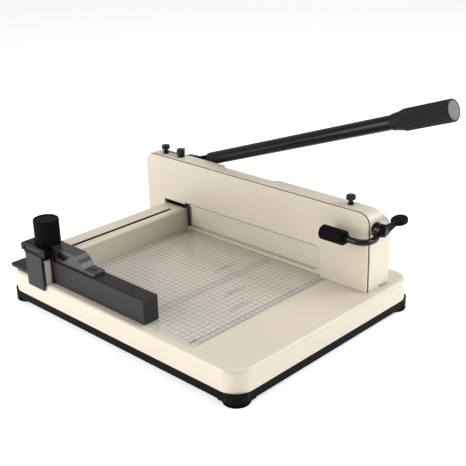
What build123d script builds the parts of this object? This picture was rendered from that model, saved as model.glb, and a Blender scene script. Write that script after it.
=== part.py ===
from build123d import *
from math import acos, atan2, cos, hypot, pi, radians, sin, tan
import os

# Heavy-duty guillotine for stacks of A4 paper. Millimetres, +Z up, +X along the blade,
# +Y from the operator's edge of the table to the back. The origin is on the floor,
# under the middle of the base.

# ---- driving dimensions: base and table ----
BASE_LENGTH = 510.0
BASE_WIDTH = 398.0
BASE_CORNER_R = 30.0
FOOT_PAD_H = 4.0
RIM_DROP = 1.5
RIM_H = 14.7
TRAY_H = 34.3
SHEET_T = 2.5
LEFT = -BASE_LENGTH / 2
FRONT = -BASE_WIDTH / 2
RIM_BOTTOM = FOOT_PAD_H + RIM_DROP
TRAY_BOTTOM = RIM_BOTTOM + RIM_H
TABLE = TRAY_BOTTOM + TRAY_H

# ---- housing over the blade ----
HOUSE_X0 = LEFT + 7.5
HOUSE_X1 = LEFT + 495.5
HOUSE_CORNER_R = 20.0
PLATE_Y = FRONT + 298.0
PLATE_T = 3.0
SHELL_FRONT_Y = FRONT + 302.5
SHELL_BACK_Y = FRONT + 353.0
SHELL_T = 1.5
HOUSE_TOP = TABLE + 126.0
CREST_Y = FRONT + 329.0
SLOPE_LOW_Z = TABLE + 97.0
SHADOW_GAP = 2.0
THROAT_H = 51.0
THROAT_X0 = LEFT + 105.0
THROAT_X1 = LEFT + 406.0

# ---- side fence ----
FENCE_X0 = LEFT + 55.0
FENCE_X1 = LEFT + 103.0
FENCE_H = 40.2
FENCE_T = 2.0
FENCE_Y0 = FRONT + 2.0
FENCE_Y1 = FRONT + 317.0
SLOT_X = LEFT + 87.0
SLOT_W = 6.6

# ---- lever, blade and their coupling ----
LEVER_Y = FRONT + 341.6
PIVOT_X = LEFT + 75.0
PIVOT_Z = TABLE + 88.0
LEVER_ANGLE = 19.27
TUBE_OFFSET = 17.5
TUBE_R = 11.0
ARM_T = 6.0
DRIVE_RADIUS = 46.0
DRIVE_ANGLE = -16.0
DRIVE_PIN_R = 5.0
BLADE_TILT = 20.0
BLADE_RISE = 35.3
BLADE_DROP = 10.7
BLADE_EDGE_Z = TABLE + 11.2
BLADE_FRONT_Y = FRONT + 322.6
BLADE_T = 4.0
CARRIER_Y = FRONT + 326.6
CARRIER_T = 5.4
FRAME_Y = FRONT + 332.6
FRAME_T = 5.0

# ---- clamp, its racks, shafts and gears ----
SHAFT_Y = FRONT + 313.0
DRIVE_Z = TABLE + 100.5
GEAR_MODULE = 1.25
GEAR_TEETH = 16
PINION_TEETH = 12
PRESSURE_ANGLE = radians(25)
BACKLASH = 0.25
GEAR_R = GEAR_MODULE * GEAR_TEETH / 2
PINION_R = GEAR_MODULE * PINION_TEETH / 2
IDLER_Z = DRIVE_Z - 2 * GEAR_R
CLAMP_SHAFT_Z = IDLER_Z - 2 * GEAR_R
CLAMP_LOW_Z = TABLE + 1.3
CLAMP_TOP_Z = TABLE + 48.0
CLAMP_BACK_Y = FRONT + 307.5
RACK_W = 7.5
RACK_XS = (LEFT + 106.5, LEFT + 396.0)
GEAR_X = LEFT + 446.0
GEAR_W = 8.0
RUNNING = 0.05

# ---- back gauge ----
GAUGE_Y = FRONT + 1.0
GAUGE_W = 39.0
SADDLE_TOP = TABLE + 61.5
SEAT_TOP = TABLE + 49.5
KNOB_Y = FRONT + 23.0
KNOB_R = 20.0
KNOB_H = 50.5
BAR_X1 = LEFT + 320.0

FLOOR = Plane.XY
os.makedirs("parts", exist_ok=True)


def save(builder, label):
    """Label a finished piece and write it as a STEP file of the same name."""
    builder.part.label = label
    export_step(builder.part, f"parts/{label}.step")


def plan(inset=0.0):
    """Draw the base's outline in the current sketch, smaller by inset on every side."""
    RectangleRounded(BASE_LENGTH - 2 * inset, BASE_WIDTH - 2 * inset, BASE_CORNER_R - inset)


def involute(angle):
    return tan(angle) - angle


def gear_outline(teeth, first_tooth, centre):
    """Points of a spur gear with involute flanks; a tooth points along first_tooth degrees."""
    pitch_r = GEAR_MODULE * teeth / 2
    base_r = pitch_r * cos(PRESSURE_ANGLE)
    tip_r = pitch_r + GEAR_MODULE
    root_r = pitch_r - 1.15 * GEAR_MODULE
    half_tooth = pi / (2 * teeth) - BACKLASH / (4 * pitch_r)
    start_r = max(base_r, root_r)
    flank = [(root_r, half_tooth + involute(PRESSURE_ANGLE))]
    for step in range(5):
        r = start_r + (tip_r - start_r) * step / 4
        flank.append((r, half_tooth + involute(PRESSURE_ANGLE) - involute(acos(base_r / r))))
    points = []
    for tooth in range(teeth):
        middle = radians(first_tooth) + tooth * 2 * pi / teeth
        side = [(r, middle - a) for r, a in flank] + [(r, middle + a) for r, a in reversed(flank)]
        points += [(centre[0] + r * cos(a), centre[1] + r * sin(a)) for r, a in side]
    return points


def hex_bolt(across, head_h, shank_r, shank_l, plane, places):
    """Hexagon bolts in the current part: head above the plane, shank below it."""
    with BuildSketch(plane) as heads:
        with Locations(*places):
            RegularPolygon(across / 2, 6, major_radius=False)
    extrude(heads.sketch, amount=head_h)
    with BuildSketch(plane) as shanks:
        with Locations(*places):
            Circle(shank_r)
    extrude(shanks.sketch, amount=-shank_l)


# =====================================================================
# Base: painted steel tray, plastic rim, underside cover, rubber feet
# =====================================================================
FOOT_INSET = 20.0
FOOT_R = 19.5
FOOT_PLACES = [
    (sx * (BASE_LENGTH / 2 - FOOT_INSET), sy * (BASE_WIDTH / 2 - FOOT_INSET))
    for sx in (-1, 1)
    for sy in (-1, 1)
]
FOOT_SCREW_R = 2.5
STICK_X0 = LEFT + 97.0
STICK_X1 = LEFT + 416.0
STICK_Y0 = FRONT + 317.6
STICK_W = 10.0
STICK_H = 8.0
POST_BOLT_R = 4.0
LEFT_POST_BOLTS = [(LEFT + 22.0, FRONT + 313.0), (LEFT + 42.0, FRONT + 313.0)]
RIGHT_POST_BOLTS = [(LEFT + 466.0, FRONT + 313.0), (LEFT + 486.0, FRONT + 313.0)]
FRAME_BOLT_Y = FRONT + 344.6
FRAME_BOLTS = [(LEFT + x, FRAME_BOLT_Y) for x in (32.0, 80.0, 430.0, 474.0)]
OUTLET_X0 = LEFT + 97.0
OUTLET_X1 = LEFT + 413.0
OUTLET_H = 53.0
FENCE_BLOCK_YS = (FRONT + 60.0, FRONT + 270.0)
FENCE_MID_X = (FENCE_X0 + FENCE_X1) / 2

with BuildPart() as base_shell:
    with BuildSketch(FLOOR.offset(TRAY_BOTTOM)):
        plan()
    extrude(amount=TRAY_H)
    top_edges = base_shell.faces().sort_by(Axis.Z)[-1].edges()
    fillet(top_edges, 6.0)
    offset(amount=-SHEET_T, openings=base_shell.faces().sort_by(Axis.Z)[0])
    # Welded trough under the table that holds the cutting stick.
    stick_mid = ((STICK_X0 + STICK_X1) / 2, STICK_Y0 + STICK_W / 2)
    with BuildSketch(FLOOR.offset(TABLE - STICK_H - SHEET_T)):
        with Locations(stick_mid):
            Rectangle(STICK_X1 - STICK_X0 + 5.0, STICK_W + 5.0)
    extrude(amount=STICK_H)
    with BuildSketch(FLOOR.offset(TABLE)):
        with Locations(stick_mid):
            Rectangle(STICK_X1 - STICK_X0 + 0.2, STICK_W + 0.2)
    extrude(amount=-STICK_H, mode=Mode.SUBTRACT)
    with BuildSketch(FLOOR.offset(TABLE)):
        with Locations(*LEFT_POST_BOLTS, *RIGHT_POST_BOLTS, *FRAME_BOLTS):
            Circle(POST_BOLT_R)
        with Locations(*[(FENCE_MID_X, y) for y in FENCE_BLOCK_YS]):
            Circle(FOOT_SCREW_R)
    extrude(amount=-SHEET_T, mode=Mode.SUBTRACT)
save(base_shell, "base_shell")

RIM_INSET = 1.5
RIM_T = 4.5
RIM_INNER = RIM_INSET + RIM_T
TONGUE_INSET = SHEET_T + 0.2
TONGUE_H = 4.0


def rounded_opening(inset):
    """Cut the base's outline, smaller by inset, out of the current sketch."""
    size = (BASE_LENGTH - 2 * inset, BASE_WIDTH - 2 * inset)
    RectangleRounded(*size, BASE_CORNER_R - inset, mode=Mode.SUBTRACT)


with BuildPart() as base_rim:
    with BuildSketch(FLOOR.offset(RIM_BOTTOM)):
        plan(RIM_INSET)
        rounded_opening(RIM_INNER)
        with Locations(*FOOT_PLACES):
            Circle(FOOT_R)
    extrude(amount=RIM_H)
    with BuildSketch(FLOOR.offset(TRAY_BOTTOM)):
        plan(TONGUE_INSET)
        rounded_opening(RIM_INNER)
    extrude(amount=TONGUE_H)
    with BuildSketch(FLOOR.offset(RIM_BOTTOM)):
        with Locations(*FOOT_PLACES):
            Circle(FOOT_SCREW_R + 0.2)
    extrude(amount=RIM_H, mode=Mode.SUBTRACT)
save(base_rim, "base_rim")

COVER_Z = TRAY_BOTTOM
COVER_T = 1.5
with BuildPart() as bottom_cover:
    with BuildSketch(FLOOR.offset(COVER_Z)):
        plan(RIM_INNER + 0.3)
        with Locations(*FOOT_PLACES):
            Circle(FOOT_SCREW_R + 0.2, mode=Mode.SUBTRACT)
    extrude(amount=COVER_T)
save(bottom_cover, "bottom_cover")

# Each foot is a round rubber pad with a corner plate that follows the rim.
FOOT_PLATE = 38.0
FOOT_SCREW_HEAD_R = 5.0
FOOT_SCREW_HEAD_H = 2.4
with BuildPart() as corner_feet:
    with BuildSketch(FLOOR):
        with Locations(*FOOT_PLACES):
            Circle(FOOT_R)
    extrude(amount=RIM_BOTTOM)
    with BuildSketch(FLOOR.offset(FOOT_PAD_H)):
        plan(RIM_INSET)
        Rectangle(BASE_LENGTH - 2 * FOOT_PLATE, BASE_WIDTH, mode=Mode.SUBTRACT)
        Rectangle(BASE_LENGTH, BASE_WIDTH - 2 * FOOT_PLATE, mode=Mode.SUBTRACT)
    extrude(amount=RIM_DROP)
    with BuildSketch(FLOOR):
        with Locations(*FOOT_PLACES):
            Circle(FOOT_SCREW_R + 0.2)
    extrude(amount=RIM_BOTTOM, mode=Mode.SUBTRACT)
    with BuildSketch(FLOOR):
        with Locations(*FOOT_PLACES):
            Circle(FOOT_SCREW_HEAD_R + 0.3)
    extrude(amount=FOOT_SCREW_HEAD_H + 1.0, mode=Mode.SUBTRACT)
    pad_rims = corner_feet.edges().filter_by(GeomType.CIRCLE)
    fillet(pad_rims.filter_by(lambda e: e.radius > FOOT_R - 0.1).group_by(Axis.Z)[0], 1.2)
save(corner_feet, "corner_feet")

with BuildPart() as foot_screws:
    with BuildSketch(FLOOR.offset(1.0)):
        with Locations(*FOOT_PLACES):
            Circle(FOOT_SCREW_HEAD_R)
    extrude(amount=FOOT_SCREW_HEAD_H)
    with BuildSketch(FLOOR.offset(1.0)):
        with Locations(*FOOT_PLACES):
            Circle(FOOT_SCREW_R)
    extrude(amount=COVER_Z + COVER_T + 4.0)
save(foot_screws, "foot_screws")

# =====================================================================
# Table top: measuring sheet and cutting stick
# =====================================================================
SHEET_MARGIN = 0.6
GRID_X1 = LEFT + 417.0
GRID_Y0 = FRONT + 14.0
GRID_T = 0.4
with BuildPart() as table_sheet:
    with BuildSketch(FLOOR.offset(TABLE)):
        sheet_x0 = FENCE_X1 + SHEET_MARGIN
        sheet_y1 = PLATE_Y - SHEET_MARGIN
        with Locations(((sheet_x0 + GRID_X1) / 2, (GRID_Y0 + sheet_y1) / 2)):
            Rectangle(GRID_X1 - sheet_x0, sheet_y1 - GRID_Y0)
    extrude(amount=GRID_T)
save(table_sheet, "table_sheet")

with BuildPart() as cutting_stick:
    with BuildSketch(FLOOR.offset(TABLE - STICK_H)):
        with Locations(stick_mid):
            Rectangle(STICK_X1 - STICK_X0, STICK_W)
    extrude(amount=STICK_H)
save(cutting_stick, "cutting_stick")

# =====================================================================
# Side fence: folded channel with a slot for the back gauge
# =====================================================================
SLOT_Y1 = FRONT + 280.0
BLOCK_W = FENCE_X1 - FENCE_X0 - 2 * FENCE_T - 0.4
BLOCK_H = 18.0
with BuildPart() as fence_rail:
    with BuildSketch(Plane.XZ.offset(-FENCE_Y0)):
        with Locations((FENCE_MID_X, TABLE + FENCE_H / 2)):
            Rectangle(FENCE_X1 - FENCE_X0, FENCE_H)
    extrude(amount=-(FENCE_Y1 - FENCE_Y0))
    fence_top = fence_rail.edges().filter_by(Axis.Y).group_by(Axis.Z)[-1]
    fillet(fence_top.sort_by(Axis.X)[-1], 5.0)
    fillet(fence_rail.edges().filter_by(Axis.Y).group_by(Axis.Z)[-1].sort_by(Axis.X)[0], 2.5)
    fence_opens = [
        fence_rail.faces().sort_by(Axis.Z)[0],
        fence_rail.faces().sort_by(Axis.Y)[0],
        fence_rail.faces().sort_by(Axis.Y)[-1],
    ]
    offset(amount=-FENCE_T, openings=fence_opens)
    with BuildSketch(FLOOR.offset(TABLE + FENCE_H)):
        with Locations((SLOT_X, (FENCE_Y0 + SLOT_Y1) / 2)):
            Rectangle(SLOT_W, SLOT_Y1 - FENCE_Y0)
    extrude(amount=-FENCE_T * 2, mode=Mode.SUBTRACT)
save(fence_rail, "fence_rail")

with BuildPart() as fence_blocks:
    with BuildSketch(FLOOR.offset(TABLE)):
        with Locations(*[(FENCE_MID_X, y) for y in FENCE_BLOCK_YS]):
            Rectangle(BLOCK_W, 24.0)
            Circle(FOOT_SCREW_R, mode=Mode.SUBTRACT)
    extrude(amount=BLOCK_H)
save(fence_blocks, "fence_blocks")

with BuildPart() as fence_screws:
    block_places = [(FENCE_MID_X, y) for y in FENCE_BLOCK_YS]
    under_table = Plane(origin=(0, 0, TABLE - SHEET_T), z_dir=(0, 0, -1), x_dir=(1, 0, 0))
    mirrored = [(x, -y) for x, y in block_places]
    hex_bolt(8.0, 3.0, FOOT_SCREW_R - 0.1, SHEET_T + 14.0, under_table, mirrored)
save(fence_screws, "fence_screws")

CAP_X0 = LEFT + 61.0
CAP_BOTTOM = TABLE - 9.5
CAP_TOP = TABLE + 47.5
CAP_T = 3.0
CAP_PLUG = 7.0
with BuildPart() as fence_end_cap:
    with BuildSketch(Plane.XZ.offset(-(FRONT - 1.4))):
        with Locations(((CAP_X0 + FENCE_X1) / 2, (CAP_BOTTOM + CAP_TOP) / 2)):
            RectangleRounded(FENCE_X1 - CAP_X0, CAP_TOP - CAP_BOTTOM, 1.5)
    extrude(amount=CAP_T)
    cap_front = fence_end_cap.faces().sort_by(Axis.Y)[0]
    fillet(cap_front.edges(), 1.0)
    plug_x0 = FENCE_X0 + FENCE_T + 4.0
    plug_x1 = FENCE_X1 - FENCE_T - 0.3
    with BuildSketch(Plane.XZ.offset(-(FRONT - 1.4))):
        with Locations(((plug_x0 + plug_x1) / 2, TABLE + 15.0)):
            Rectangle(plug_x1 - plug_x0, 28.0)
    extrude(amount=-(CAP_PLUG + 3.4))
save(fence_end_cap, "fence_end_cap")

# =====================================================================
# Housing: iron posts, rear frame, front plate, rear shell
# =====================================================================
POST_Y0 = PLATE_Y + PLATE_T
POST_Y1 = FRONT + 322.0
POST_CORNER_R = 17.0
POST_TOP = HOUSE_TOP - SHELL_T
LEFT_POST_X0 = LEFT + 12.0
LEFT_POST_X1 = LEFT + 52.0
RIGHT_POST_X0 = LEFT + 458.0
RIGHT_POST_X1 = LEFT + 491.5
CAP_LOW_Z = TABLE + 113.0
SCREW_LEFT = (LEFT + 46.0, FRONT + 313.5)
SCREW_RIGHT = (LEFT + 448.0, FRONT + 317.0)
PIN_PLACE = (LEFT + 82.0, FRONT + 316.0)
THUMB_THREAD_R = 3.0
THUMB_THREAD_L = 9.0
PIN_R = 4.0
BUSH_R = 8.0
SHAFT_R = 5.0


def box_between(x0, x1, y0, y1, z0, z1, mode=Mode.ADD):
    """Add or cut a plain block in the current part, given its two corners."""
    with BuildSketch(FLOOR.offset(z0)) as foot:
        with Locations(((x0 + x1) / 2, (y0 + y1) / 2)):
            Rectangle(x1 - x0, y1 - y0)
    extrude(foot.sketch, amount=z1 - z0, mode=mode)


def bore_x(x0, x1, y, z, radius, mode=Mode.SUBTRACT):
    """Cut or add a round bar along X in the current part."""
    with BuildSketch(Plane.YZ.offset(x0)) as end:
        with Locations((y, z)):
            Circle(radius)
    extrude(end.sketch, amount=x1 - x0, mode=mode)


def bore_z(place, z_top, depth, radius):
    """Cut a round hole downwards in the current part."""
    with BuildSketch(FLOOR.offset(z_top)) as mouth:
        with Locations(place):
            Circle(radius)
    extrude(mouth.sketch, amount=-depth, mode=Mode.SUBTRACT)


with BuildPart() as left_post:
    box_between(LEFT_POST_X0, LEFT_POST_X1, POST_Y0, POST_Y1, TABLE, POST_TOP)
    box_between(LEFT_POST_X1, LEFT + 94.0, POST_Y0, POST_Y1, CAP_LOW_Z, POST_TOP)
    fillet(left_post.edges().filter_by(Axis.Y).group_by(Axis.Z)[-1].sort_by(Axis.X)[0], POST_CORNER_R)
    bore_x(LEFT + 38.0, LEFT_POST_X1, SHAFT_Y, CLAMP_SHAFT_Z, BUSH_R)
    bore_z(SCREW_LEFT, POST_TOP, THUMB_THREAD_L + 1.0, THUMB_THREAD_R + RUNNING)
    bore_z(PIN_PLACE, POST_TOP, POST_TOP - CAP_LOW_Z, PIN_R + RUNNING)
    for x, y in LEFT_POST_BOLTS:
        bore_z((x, y), TABLE + 25.0, 25.0, POST_BOLT_R)
save(left_post, "left_post")

with BuildPart() as right_post:
    box_between(RIGHT_POST_X0, RIGHT_POST_X1, POST_Y0, POST_Y1, TABLE, POST_TOP)
    box_between(LEFT + 438.0, RIGHT_POST_X0, POST_Y0, POST_Y1, CAP_LOW_Z, POST_TOP)
    fillet(right_post.edges().filter_by(Axis.Y).group_by(Axis.Z)[-1].sort_by(Axis.X)[-1], POST_CORNER_R)
    bore_x(RIGHT_POST_X0, LEFT + 474.0, SHAFT_Y, CLAMP_SHAFT_Z, BUSH_R)
    bore_x(RIGHT_POST_X0, RIGHT_POST_X1, SHAFT_Y, DRIVE_Z, BUSH_R)
    bore_x(RIGHT_POST_X0, LEFT + 474.0, SHAFT_Y, IDLER_Z, SHAFT_R - 1.0)
    bore_z(SCREW_RIGHT, POST_TOP, THUMB_THREAD_L + 1.0, THUMB_THREAD_R + RUNNING)
    for x, y in RIGHT_POST_BOLTS:
        bore_z((x, y), TABLE + 25.0, 25.0, POST_BOLT_R)
save(right_post, "right_post")

with BuildPart() as post_bolts:
    places = [(x, -y) for x, y in LEFT_POST_BOLTS + RIGHT_POST_BOLTS]
    hex_bolt(13.0, 5.3, POST_BOLT_R - 0.1, SHEET_T + 20.0, under_table, places)
save(post_bolts, "post_bolts")

# Bronze bushes: two for the clamp shaft, one flanged for the drive shaft.
DRIVE_SHAFT_R = 6.0
with BuildPart() as shaft_bushes:
    bore_x(LEFT + 38.0, LEFT_POST_X1 + 1.0, SHAFT_Y, CLAMP_SHAFT_Z, BUSH_R, Mode.ADD)
    bore_x(RIGHT_POST_X0 - 1.0, LEFT + 474.0, SHAFT_Y, CLAMP_SHAFT_Z, BUSH_R, Mode.ADD)
    bore_x(RIGHT_POST_X0 - 1.0, RIGHT_POST_X1, SHAFT_Y, DRIVE_Z, BUSH_R, Mode.ADD)
    bore_x(LEFT + 38.0, LEFT + 474.0, SHAFT_Y, CLAMP_SHAFT_Z, SHAFT_R + RUNNING)
    bore_x(RIGHT_POST_X0 - 1.0, RIGHT_POST_X1, SHAFT_Y, DRIVE_Z, DRIVE_SHAFT_R + RUNNING)
save(shaft_bushes, "shaft_bushes")

with BuildPart() as idler_pin:
    bore_x(LEFT + 444.0, LEFT + 474.0, SHAFT_Y, IDLER_Z, SHAFT_R - 1.0, Mode.ADD)
    bore_x(LEFT + 442.5, LEFT + 444.0, SHAFT_Y, IDLER_Z, SHAFT_R + 1.5, Mode.ADD)
save(idler_pin, "idler_pin")

# Rear frame: steel plate on a foot flange. It carries the lever's pivot and the blade's guides.
FRAME_X0 = LEFT + 14.0
FRAME_X1 = LEFT + 490.0
FRAME_TOP = TABLE + 95.0
GUIDE_XS = (LEFT + 46.0, LEFT + 424.0)
GUIDE_Z = TABLE + 64.0
GUIDE_R = 5.0
PIVOT_R = 7.0
with BuildPart() as rear_frame:
    box_between(FRAME_X0, FRAME_X1, FRAME_Y, FRAME_Y + FRAME_T, TABLE, FRAME_TOP)
    box_between(FRAME_X0, FRAME_X1, FRAME_Y, FRAME_Y + 18.0, TABLE, TABLE + 6.0)
    with BuildSketch(Plane.XZ.offset(-FRAME_Y)):
        with Locations((PIVOT_X, PIVOT_Z)):
            Circle(17.0)
    extrude(amount=-FRAME_T)
    # Outlet for the cut paper, and an open notch that the lever's drive pin moves in.
    outlet_y = (FRAME_Y - 1, FRAME_Y + 19)
    box_between(OUTLET_X0, OUTLET_X1, *outlet_y, TABLE, TABLE + OUTLET_H, Mode.SUBTRACT)
    notch_x0 = PIVOT_X + DRIVE_RADIUS * cos(radians(30)) - DRIVE_PIN_R - 3.0
    notch_x1 = PIVOT_X + DRIVE_RADIUS + DRIVE_PIN_R + 3.0
    notch_z0 = PIVOT_Z - DRIVE_RADIUS / 2 - DRIVE_PIN_R - 3.0
    box_between(notch_x0, notch_x1, FRAME_Y - 1, FRAME_Y + 9, notch_z0, FRAME_TOP, Mode.SUBTRACT)
    with BuildSketch(Plane.XZ.offset(-FRAME_Y)):
        with Locations((PIVOT_X, PIVOT_Z)):
            Circle(PIVOT_R)
        with Locations(*[(x, GUIDE_Z) for x in GUIDE_XS]):
            Circle(GUIDE_R - 1.0)
    extrude(amount=-FRAME_T, mode=Mode.SUBTRACT)
    for x, y in FRAME_BOLTS:
        bore_z((x, y), TABLE + 6.0, 6.0, POST_BOLT_R)
save(rear_frame, "rear_frame")

with BuildPart() as frame_bolts:
    hex_bolt(13.0, 5.3, POST_BOLT_R - 0.1, 6.0 + SHEET_T + 5.0, FLOOR.offset(TABLE + 6.0), FRAME_BOLTS)
save(frame_bolts, "frame_bolts")

# Shoulder bolts that the blade carrier's slanted slots run on.
GUIDE_HEAD_R = 8.0
GUIDE_HEAD_T = 3.6
with BuildPart() as guide_bolts:
    for x in GUIDE_XS:
        with BuildSketch(Plane.XZ.offset(-FRAME_Y)):
            with Locations((x, GUIDE_Z)):
                Circle(GUIDE_R)
        extrude(amount=CARRIER_T + 0.9)
        with BuildSketch(Plane.XZ.offset(-(CARRIER_Y - 0.3))):
            with Locations((x, GUIDE_Z)):
                Circle(GUIDE_HEAD_R)
        extrude(amount=GUIDE_HEAD_T)
        with BuildSketch(Plane.XZ.offset(-FRAME_Y)):
            with Locations((x, GUIDE_Z)):
                Circle(GUIDE_R - 1.0)
        extrude(amount=-(FRAME_T + 7.0))
        with BuildSketch(Plane.XZ.offset(-(FRAME_Y + FRAME_T))):
            with Locations((x, GUIDE_Z)):
                RegularPolygon(6.5, 6, major_radius=False)
        extrude(amount=-4.0)
save(guide_bolts, "guide_bolts")

# Front plate: one painted sheet with two legs, notched for the fence.
NOTCH_X0 = FENCE_X0 - 2.0
NOTCH_H = 47.5
PLATE_LOW = TABLE + 0.3
PLATE_TOP = HOUSE_TOP - SHADOW_GAP
# Return flange of the plate, under the front edge of the shell's top.
RETURN_X0 = LEFT + 96.0
RETURN_X1 = LEFT + 436.0
RETURN_W = 7.5
RETURN_T = 1.2
with BuildPart() as front_plate:
    with BuildSketch(Plane.XZ.offset(-PLATE_Y)):
        with BuildLine():
            Polyline(
                (HOUSE_X0 + SHADOW_GAP, PLATE_LOW), (HOUSE_X0 + SHADOW_GAP, PLATE_TOP),
                (HOUSE_X1 - SHADOW_GAP, PLATE_TOP), (HOUSE_X1 - SHADOW_GAP, PLATE_LOW),
                (THROAT_X1, PLATE_LOW), (THROAT_X1, TABLE + THROAT_H),
                (THROAT_X0, TABLE + THROAT_H), (THROAT_X0, TABLE + NOTCH_H),
                (NOTCH_X0, TABLE + NOTCH_H), (NOTCH_X0, PLATE_LOW), close=True,
            )
        make_face()
    extrude(amount=-PLATE_T)
    top_corners = front_plate.edges().filter_by(Axis.Y).group_by(Axis.Z)[-1]
    fillet(top_corners, HOUSE_CORNER_R - SHADOW_GAP)
    front_face = front_plate.faces().filter_by(Axis.Y).sort_by(Axis.Y)[0]
    fillet(front_face.edges(), 0.7)
    box_between(
        RETURN_X0, RETURN_X1, PLATE_Y + PLATE_T - 0.5, PLATE_Y + PLATE_T + RETURN_W,
        PLATE_TOP - 0.4 - RETURN_T, PLATE_TOP - 0.4,
    )
save(front_plate, "front_plate")

# Rear shell: folded sheet over the top, ends and back, with a long slot that the lever moves in.
LEVER_SLOT_X0 = LEFT + 26.0
LEVER_SLOT_X1 = LEFT + 430.0
RELIEF_DEPTH = 3.5
RELIEF_W = 15.0
END_HOLE_R = 1.6
with BuildPart() as rear_shell:
    with BuildSketch(Plane.XZ.offset(-SHELL_FRONT_Y)):
        with Locations(((HOUSE_X0 + HOUSE_X1) / 2, (TABLE + 0.3 + HOUSE_TOP) / 2)):
            Rectangle(HOUSE_X1 - HOUSE_X0, HOUSE_TOP - TABLE - 0.3)
    extrude(amount=-(SHELL_BACK_Y - SHELL_FRONT_Y))
    fillet(rear_shell.edges().filter_by(Axis.Y).group_by(Axis.Z)[-1], HOUSE_CORNER_R)
    with BuildSketch(Plane.YZ.offset(HOUSE_X0)):
        with BuildLine():
            Polyline(
                (CREST_Y, HOUSE_TOP + 1), (SHELL_BACK_Y + 1, HOUSE_TOP + 1),
                (SHELL_BACK_Y + 1, SLOPE_LOW_Z), (SHELL_BACK_Y, SLOPE_LOW_Z),
                (CREST_Y, HOUSE_TOP), close=True,
            )
        make_face()
    extrude(amount=HOUSE_X1 - HOUSE_X0, mode=Mode.SUBTRACT)
    # Shallow relief in the rear edge of the top, where the lowered tube passes.
    relief_tilt = atan2(RELIEF_DEPTH, RELIEF_W)
    relief_plane = Plane(
        origin=(LEFT + 235.0, CREST_Y - RELIEF_W, HOUSE_TOP),
        x_dir=(1, 0, 0), z_dir=(0, sin(relief_tilt), cos(relief_tilt)),
    )
    with BuildSketch(relief_plane):
        with BuildLine():
            Polyline((-45, 0), (46, 0), (66, 20), (-64, 20), close=True)
        make_face()
    extrude(amount=8.0, mode=Mode.SUBTRACT)
    shell_open = [rear_shell.faces().sort_by(Axis.Z)[0], rear_shell.faces().sort_by(Axis.Y)[0]]
    offset(amount=-SHELL_T, openings=shell_open)
    box_between(
        LEVER_SLOT_X0, LEVER_SLOT_X1, CREST_Y + 0.3, SHELL_BACK_Y + 1, SLOPE_LOW_Z - 0.5,
        HOUSE_TOP + 1, Mode.SUBTRACT,
    )
    with BuildSketch(FLOOR.offset(HOUSE_TOP)):
        with Locations(SCREW_LEFT, SCREW_RIGHT):
            Circle(THUMB_THREAD_R + 0.3)
        with Locations(PIN_PLACE):
            Circle(PIN_R + 0.3)
    extrude(amount=-SHELL_T * 2, mode=Mode.SUBTRACT)
    box_between(
        OUTLET_X0, OUTLET_X1, SHELL_BACK_Y - 3, SHELL_BACK_Y + 1, TABLE, TABLE + OUTLET_H,
        Mode.SUBTRACT,
    )
    # Right end: opening for the drive shaft, a small drain hole and the raised rear of the skirt.
    bore_x(HOUSE_X1 - 3, HOUSE_X1 + 1, SHAFT_Y, DRIVE_Z, BUSH_R)
    bore_x(HOUSE_X1 - 3, HOUSE_X1 + 1, FRONT + 331.0, TABLE + 2.6, END_HOLE_R)
    box_between(
        HOUSE_X1 - 3, HOUSE_X1 + 1, FRONT + 331.0, SHELL_BACK_Y + 1, TABLE, TABLE + 2.0,
        Mode.SUBTRACT,
    )
save(rear_shell, "rear_shell")

# Steel boss on the shell's top that the lock pin slides through.
PIN_BOSS_R = 6.5
PIN_BOSS_H = 3.0
with BuildPart() as lock_pin_boss:
    with BuildSketch(FLOOR.offset(HOUSE_TOP)):
        with Locations(PIN_PLACE):
            Circle(PIN_BOSS_R)
            Circle(PIN_R + RUNNING, mode=Mode.SUBTRACT)
    extrude(amount=PIN_BOSS_H)
save(lock_pin_boss, "lock_pin_boss")

# Thin steel strap that keeps the lock pin's collar tied to the left thumbscrew.
STRAP_Z = HOUSE_TOP + 3.3
with BuildPart() as pin_strap:
    with BuildSketch(FLOOR.offset(STRAP_Z)):
        with Locations(SCREW_LEFT, PIN_PLACE):
            Circle(6.0)
        with Locations(((SCREW_LEFT[0] + PIN_PLACE[0]) / 2, (SCREW_LEFT[1] + PIN_PLACE[1]) / 2)):
            Rectangle(PIN_PLACE[0] - SCREW_LEFT[0] - 8.0, 4.0)
        with Locations(SCREW_LEFT, PIN_PLACE):
            Circle(4.3, mode=Mode.SUBTRACT)
    extrude(amount=0.8)
save(pin_strap, "pin_strap")

# =====================================================================
# Controls on the housing's top: two thumbscrews and the lock pin
# =====================================================================
THUMB_HEAD_R = 7.4
THUMB_NECK_R = 3.4
THUMB_FLANGE_R = 4.8


def thumbscrew(place, label):
    """A turned thumbscrew: flange, waist, domed head and a thread that enters the post."""
    with BuildPart() as screw:
        with BuildSketch(Plane.XZ) as outline:
            with BuildLine():
                Polyline((0, -THUMB_THREAD_L), (THUMB_THREAD_R, -THUMB_THREAD_L), (THUMB_THREAD_R, 0.1))
                Polyline((THUMB_THREAD_R, 0.1), (THUMB_FLANGE_R, 0.1), (THUMB_FLANGE_R, 2.4))
                Polyline((THUMB_FLANGE_R, 2.4), (THUMB_NECK_R, 3.2), (THUMB_NECK_R, 7.0))
                Polyline((THUMB_NECK_R, 7.0), (THUMB_HEAD_R, 8.6), (THUMB_HEAD_R, 13.6))
                ThreePointArc((THUMB_HEAD_R, 13.6), (6.8, 14.6), (5.4, 15.2))
                Polyline((5.4, 15.2), (0, 15.2), (0, -THUMB_THREAD_L))
            make_face()
        revolve(outline.sketch, axis=Axis.Z)
    screw.part = Pos(place[0], place[1], HOUSE_TOP) * screw.part
    save(screw, label)


thumbscrew(SCREW_LEFT, "thumbscrew_left")
thumbscrew(SCREW_RIGHT, "thumbscrew_right")

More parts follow.
